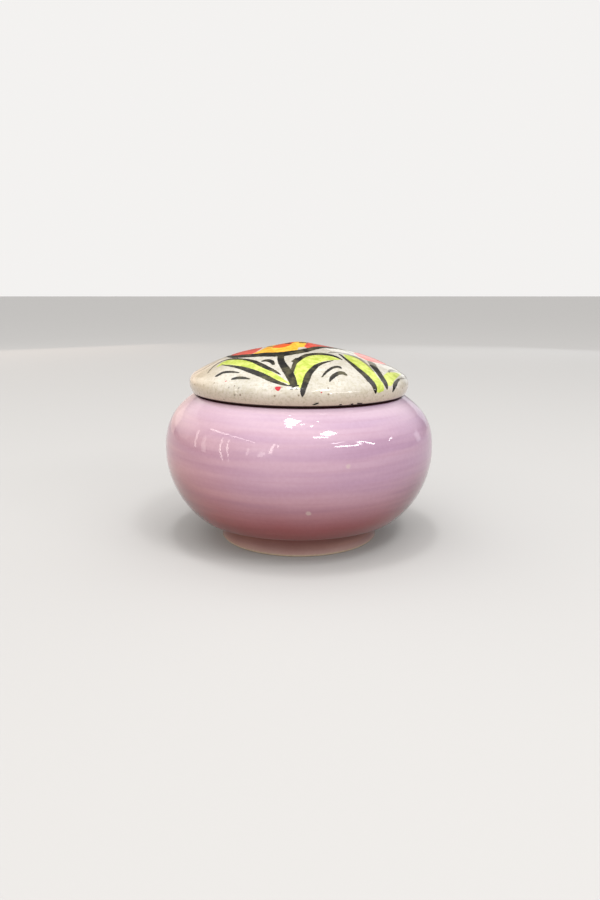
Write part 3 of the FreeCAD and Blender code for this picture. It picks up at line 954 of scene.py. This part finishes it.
FLOOR_REACH = 6
FLOOR_TINT = (0.37, 0.365, 0.36, 1)
floor_mesh = bpy.data.meshes.new("floor")
floor_corners = [(x * FLOOR_REACH, y * FLOOR_REACH, 0)
                 for x, y in ((-1, -1), (1, -1), (1, 1), (-1, 1))]
floor_mesh.from_pydata(floor_corners, [], [(0, 1, 2, 3)])
floor = bpy.data.objects.new("floor", floor_mesh)
bpy.context.scene.collection.objects.link(floor)
floor_finish = Finish("floor_white")
floor_finish.give("Base Color", FLOOR_TINT)
floor_finish.give("Roughness", 0.9)
floor_finish.give("Specular IOR Level", 0.0)
floor_mesh.materials.append(floor_finish.material)

# The room is brightest in front of the box and above it, and dim at its sides.
# Where the camera looks past the box it sees a pale backdrop. Each bright side is given by its
# way, the cosines from that way at which it has faded out and is full, and its glow.
ROOM_GLOW = 0.17
ROOM_TINT = (1.0, 0.985, 0.97, 1)
BACKDROP_GLOW = 0.9
BRIGHT_SIDES = [((0, -0.695, 0.719), 0.5, 0.95, 1.74), ((0, 0, 1), 0.5, 1.0, 0.9),
                ((-0.64, 0.37, 0.67), 0.76, 0.98, 1.2), ((0.64, 0.37, 0.67), 0.76, 0.98, 1.0)]
world = bpy.data.worlds.new("studio")
bpy.context.scene.world = world
world.use_nodes = True
sky = world.node_tree
look = put(sky, "ShaderNodeTexCoord")["Generated"]
light = ROOM_GLOW
for brightest_way, fades_out, full, glow in BRIGHT_SIDES:
    toward = put(sky, "ShaderNodeVectorMath", {"operation": "DOT_PRODUCT"}, at0=look,
                 at1=brightest_way)["Value"]
    spread = put(sky, "ShaderNodeMapRange", {"interpolation_type": "SMOOTHSTEP"}, Value=toward,
                 at1=fades_out, at2=full, at3=0, at4=glow)[0]
    light = put(sky, "ShaderNodeMath", at0=light, at1=spread)[0]
seen = put(sky, "ShaderNodeLightPath")["Is Camera Ray"]
strength = put(sky, "ShaderNodeMix", at0=seen, at2=light, at3=BACKDROP_GLOW)[0]
give(sky, sky.nodes["Background"].inputs["Strength"], strength)
give(sky, sky.nodes["Background"].inputs["Color"], ROOM_TINT)


# The lamps face this height on the box's axis
LAMP_AIM_HEIGHT = 45


def soft_box(name, turn_to, rise, width, height, glow, tint=(1, 1, 1), roll=0):
    """A lamp on a ball of one metre round the box, as wide and high as these angles show it.
    Turn 0 is at the camera's side and 90 to the right."""
    lamp = bpy.data.lights.new(name, "AREA")
    lamp.shape = "RECTANGLE"
    lamp.size = 2 * math.tan(math.radians(width / 2))
    lamp.size_y = 2 * math.tan(math.radians(height / 2))
    lamp.energy = glow * math.pi * lamp.size * lamp.size_y
    lamp.color = tint
    holder = bpy.data.objects.new(name, lamp)
    holder.visible_camera = False
    bpy.context.scene.collection.objects.link(holder)
    turn_to, rise = math.radians(turn_to), math.radians(rise)
    aim = Vector((0, 0, LAMP_AIM_HEIGHT * MM))
    away = Vector((math.sin(turn_to) * math.cos(rise), -math.cos(turn_to) * math.cos(rise),
                   math.sin(rise)))
    holder.location = aim + away
    facing = (-away).to_track_quat("-Z", "Y")
    holder.rotation_euler = (facing @ Quaternion((0, 0, 1), math.radians(roll))).to_euler()


# What the lamps are tinted with
WARM = (1.0, 0.94, 0.86)
COOL = (0.93, 0.96, 1.0)
PEACH = (1.0, 0.8, 0.68)

# The lamps overhead, whose reflections are the small bright marks on the shoulder
CEILING_GLOW = 30
for number, (turn_to, rise, width, height) in enumerate((
        (-30, 84.5, 8, 5), (-22, 80.5, 6, 6), (-18, 75.5, 3, 5.5), (14, 79, 1.8, 1.6),
        (29, 75, 1.6, 1.2), (68, 79, 1.2, 1.0))):
    soft_box("ceiling_lamp_%d" % number, turn_to, rise, width, height, CEILING_GLOW)

# The lamps in front
soft_box("front_lamp", 37, 57, 10, 8, 28, roll=25)
soft_box("front_lamp_end", 24, 50, 10, 3, 28, roll=-15)
soft_box("strip_lamp_start", 36, 34.5, 9, 1.4, 14, roll=5)
soft_box("strip_lamp", 42, 26, 19, 2.2, 32, roll=-8)
soft_box("strip_lamp_rise", 54, 28, 2.0, 8, 22, roll=15)
soft_box("strip_lamp_end", 61, 26.5, 14, 2.0, 28, roll=-42)
soft_box("strip_lamp_far", 85, 21.5, 5.5, 1.2, 26, roll=35)

# The warm windows at the left, then the windows at the right and behind
for name, turn_to, rise, width, height, glow, roll in (
        ("window", -74, 20, 24, 28, 0.9, 0),
        ("window_head", -66, 36, 44, 1.6, 9, -2),
        ("window_bar", -67, 14, 1.3, 33, 9, 13),
        ("window_second_bar", -61, 14, 1.0, 33, 9, 13),
        ("window_post", -97, 14, 1.8, 22, 4, 16),
        ("window_broad_post", -85, 12, 5, 22, 2.2, 14),
        ("pane", -31, 18, 18, 22, 1.0, 0),
        ("pane_bar", -23, 24, 1.5, 18, 9, -4),
        ("pane_tip", -18, 29, 1.0, 6, 9, 0),
        ("pane_foot", -30, 12, 5, 9, 4, -12),
        ("pane_post", -42, 14, 2.2, 11, 4, 0)):
    soft_box("left_" + name, turn_to, rise, width, height, glow, WARM, roll)
soft_box("right_window", 118, 6, 8, 12, 1.3, COOL)
soft_box("rear_window", -128, 18, 44, 26, 0.5, WARM)
soft_box("rear_left_glow", -150, 7, 34, 16, 0.75, PEACH)
soft_box("rear_right_glow", 152, 6, 16, 13, 0.65, COOL)
soft_box("rear_pane", 167, 11, 13, 14, 1.2)

# The camera stands where the photograph was taken from, and the box's axis is one pixel left of
# the picture's middle
CAMERA_DISTANCE = 313
CAMERA_RISE = 12.55
AIM_HEIGHT = 35.14
FOCAL = 29.9
SENSOR = 36
IMAGE_HEIGHT = 900
camera_data = bpy.data.cameras.new("camera")
camera_data.lens = FOCAL
camera_data.sensor_width = SENSOR
camera_data.shift_x = 1 / IMAGE_HEIGHT
camera_data.clip_start = 0.01
camera = bpy.data.objects.new("camera", camera_data)
bpy.context.scene.collection.objects.link(camera)
rise = math.radians(CAMERA_RISE)
camera.location = (0, -CAMERA_DISTANCE * MM * math.cos(rise),
                   (AIM_HEIGHT + CAMERA_DISTANCE * math.sin(rise)) * MM)
camera.rotation_euler = (math.radians(90) - rise, 0, 0)
bpy.context.scene.camera = camera
bpy.context.scene.view_settings.view_transform = "Standard"
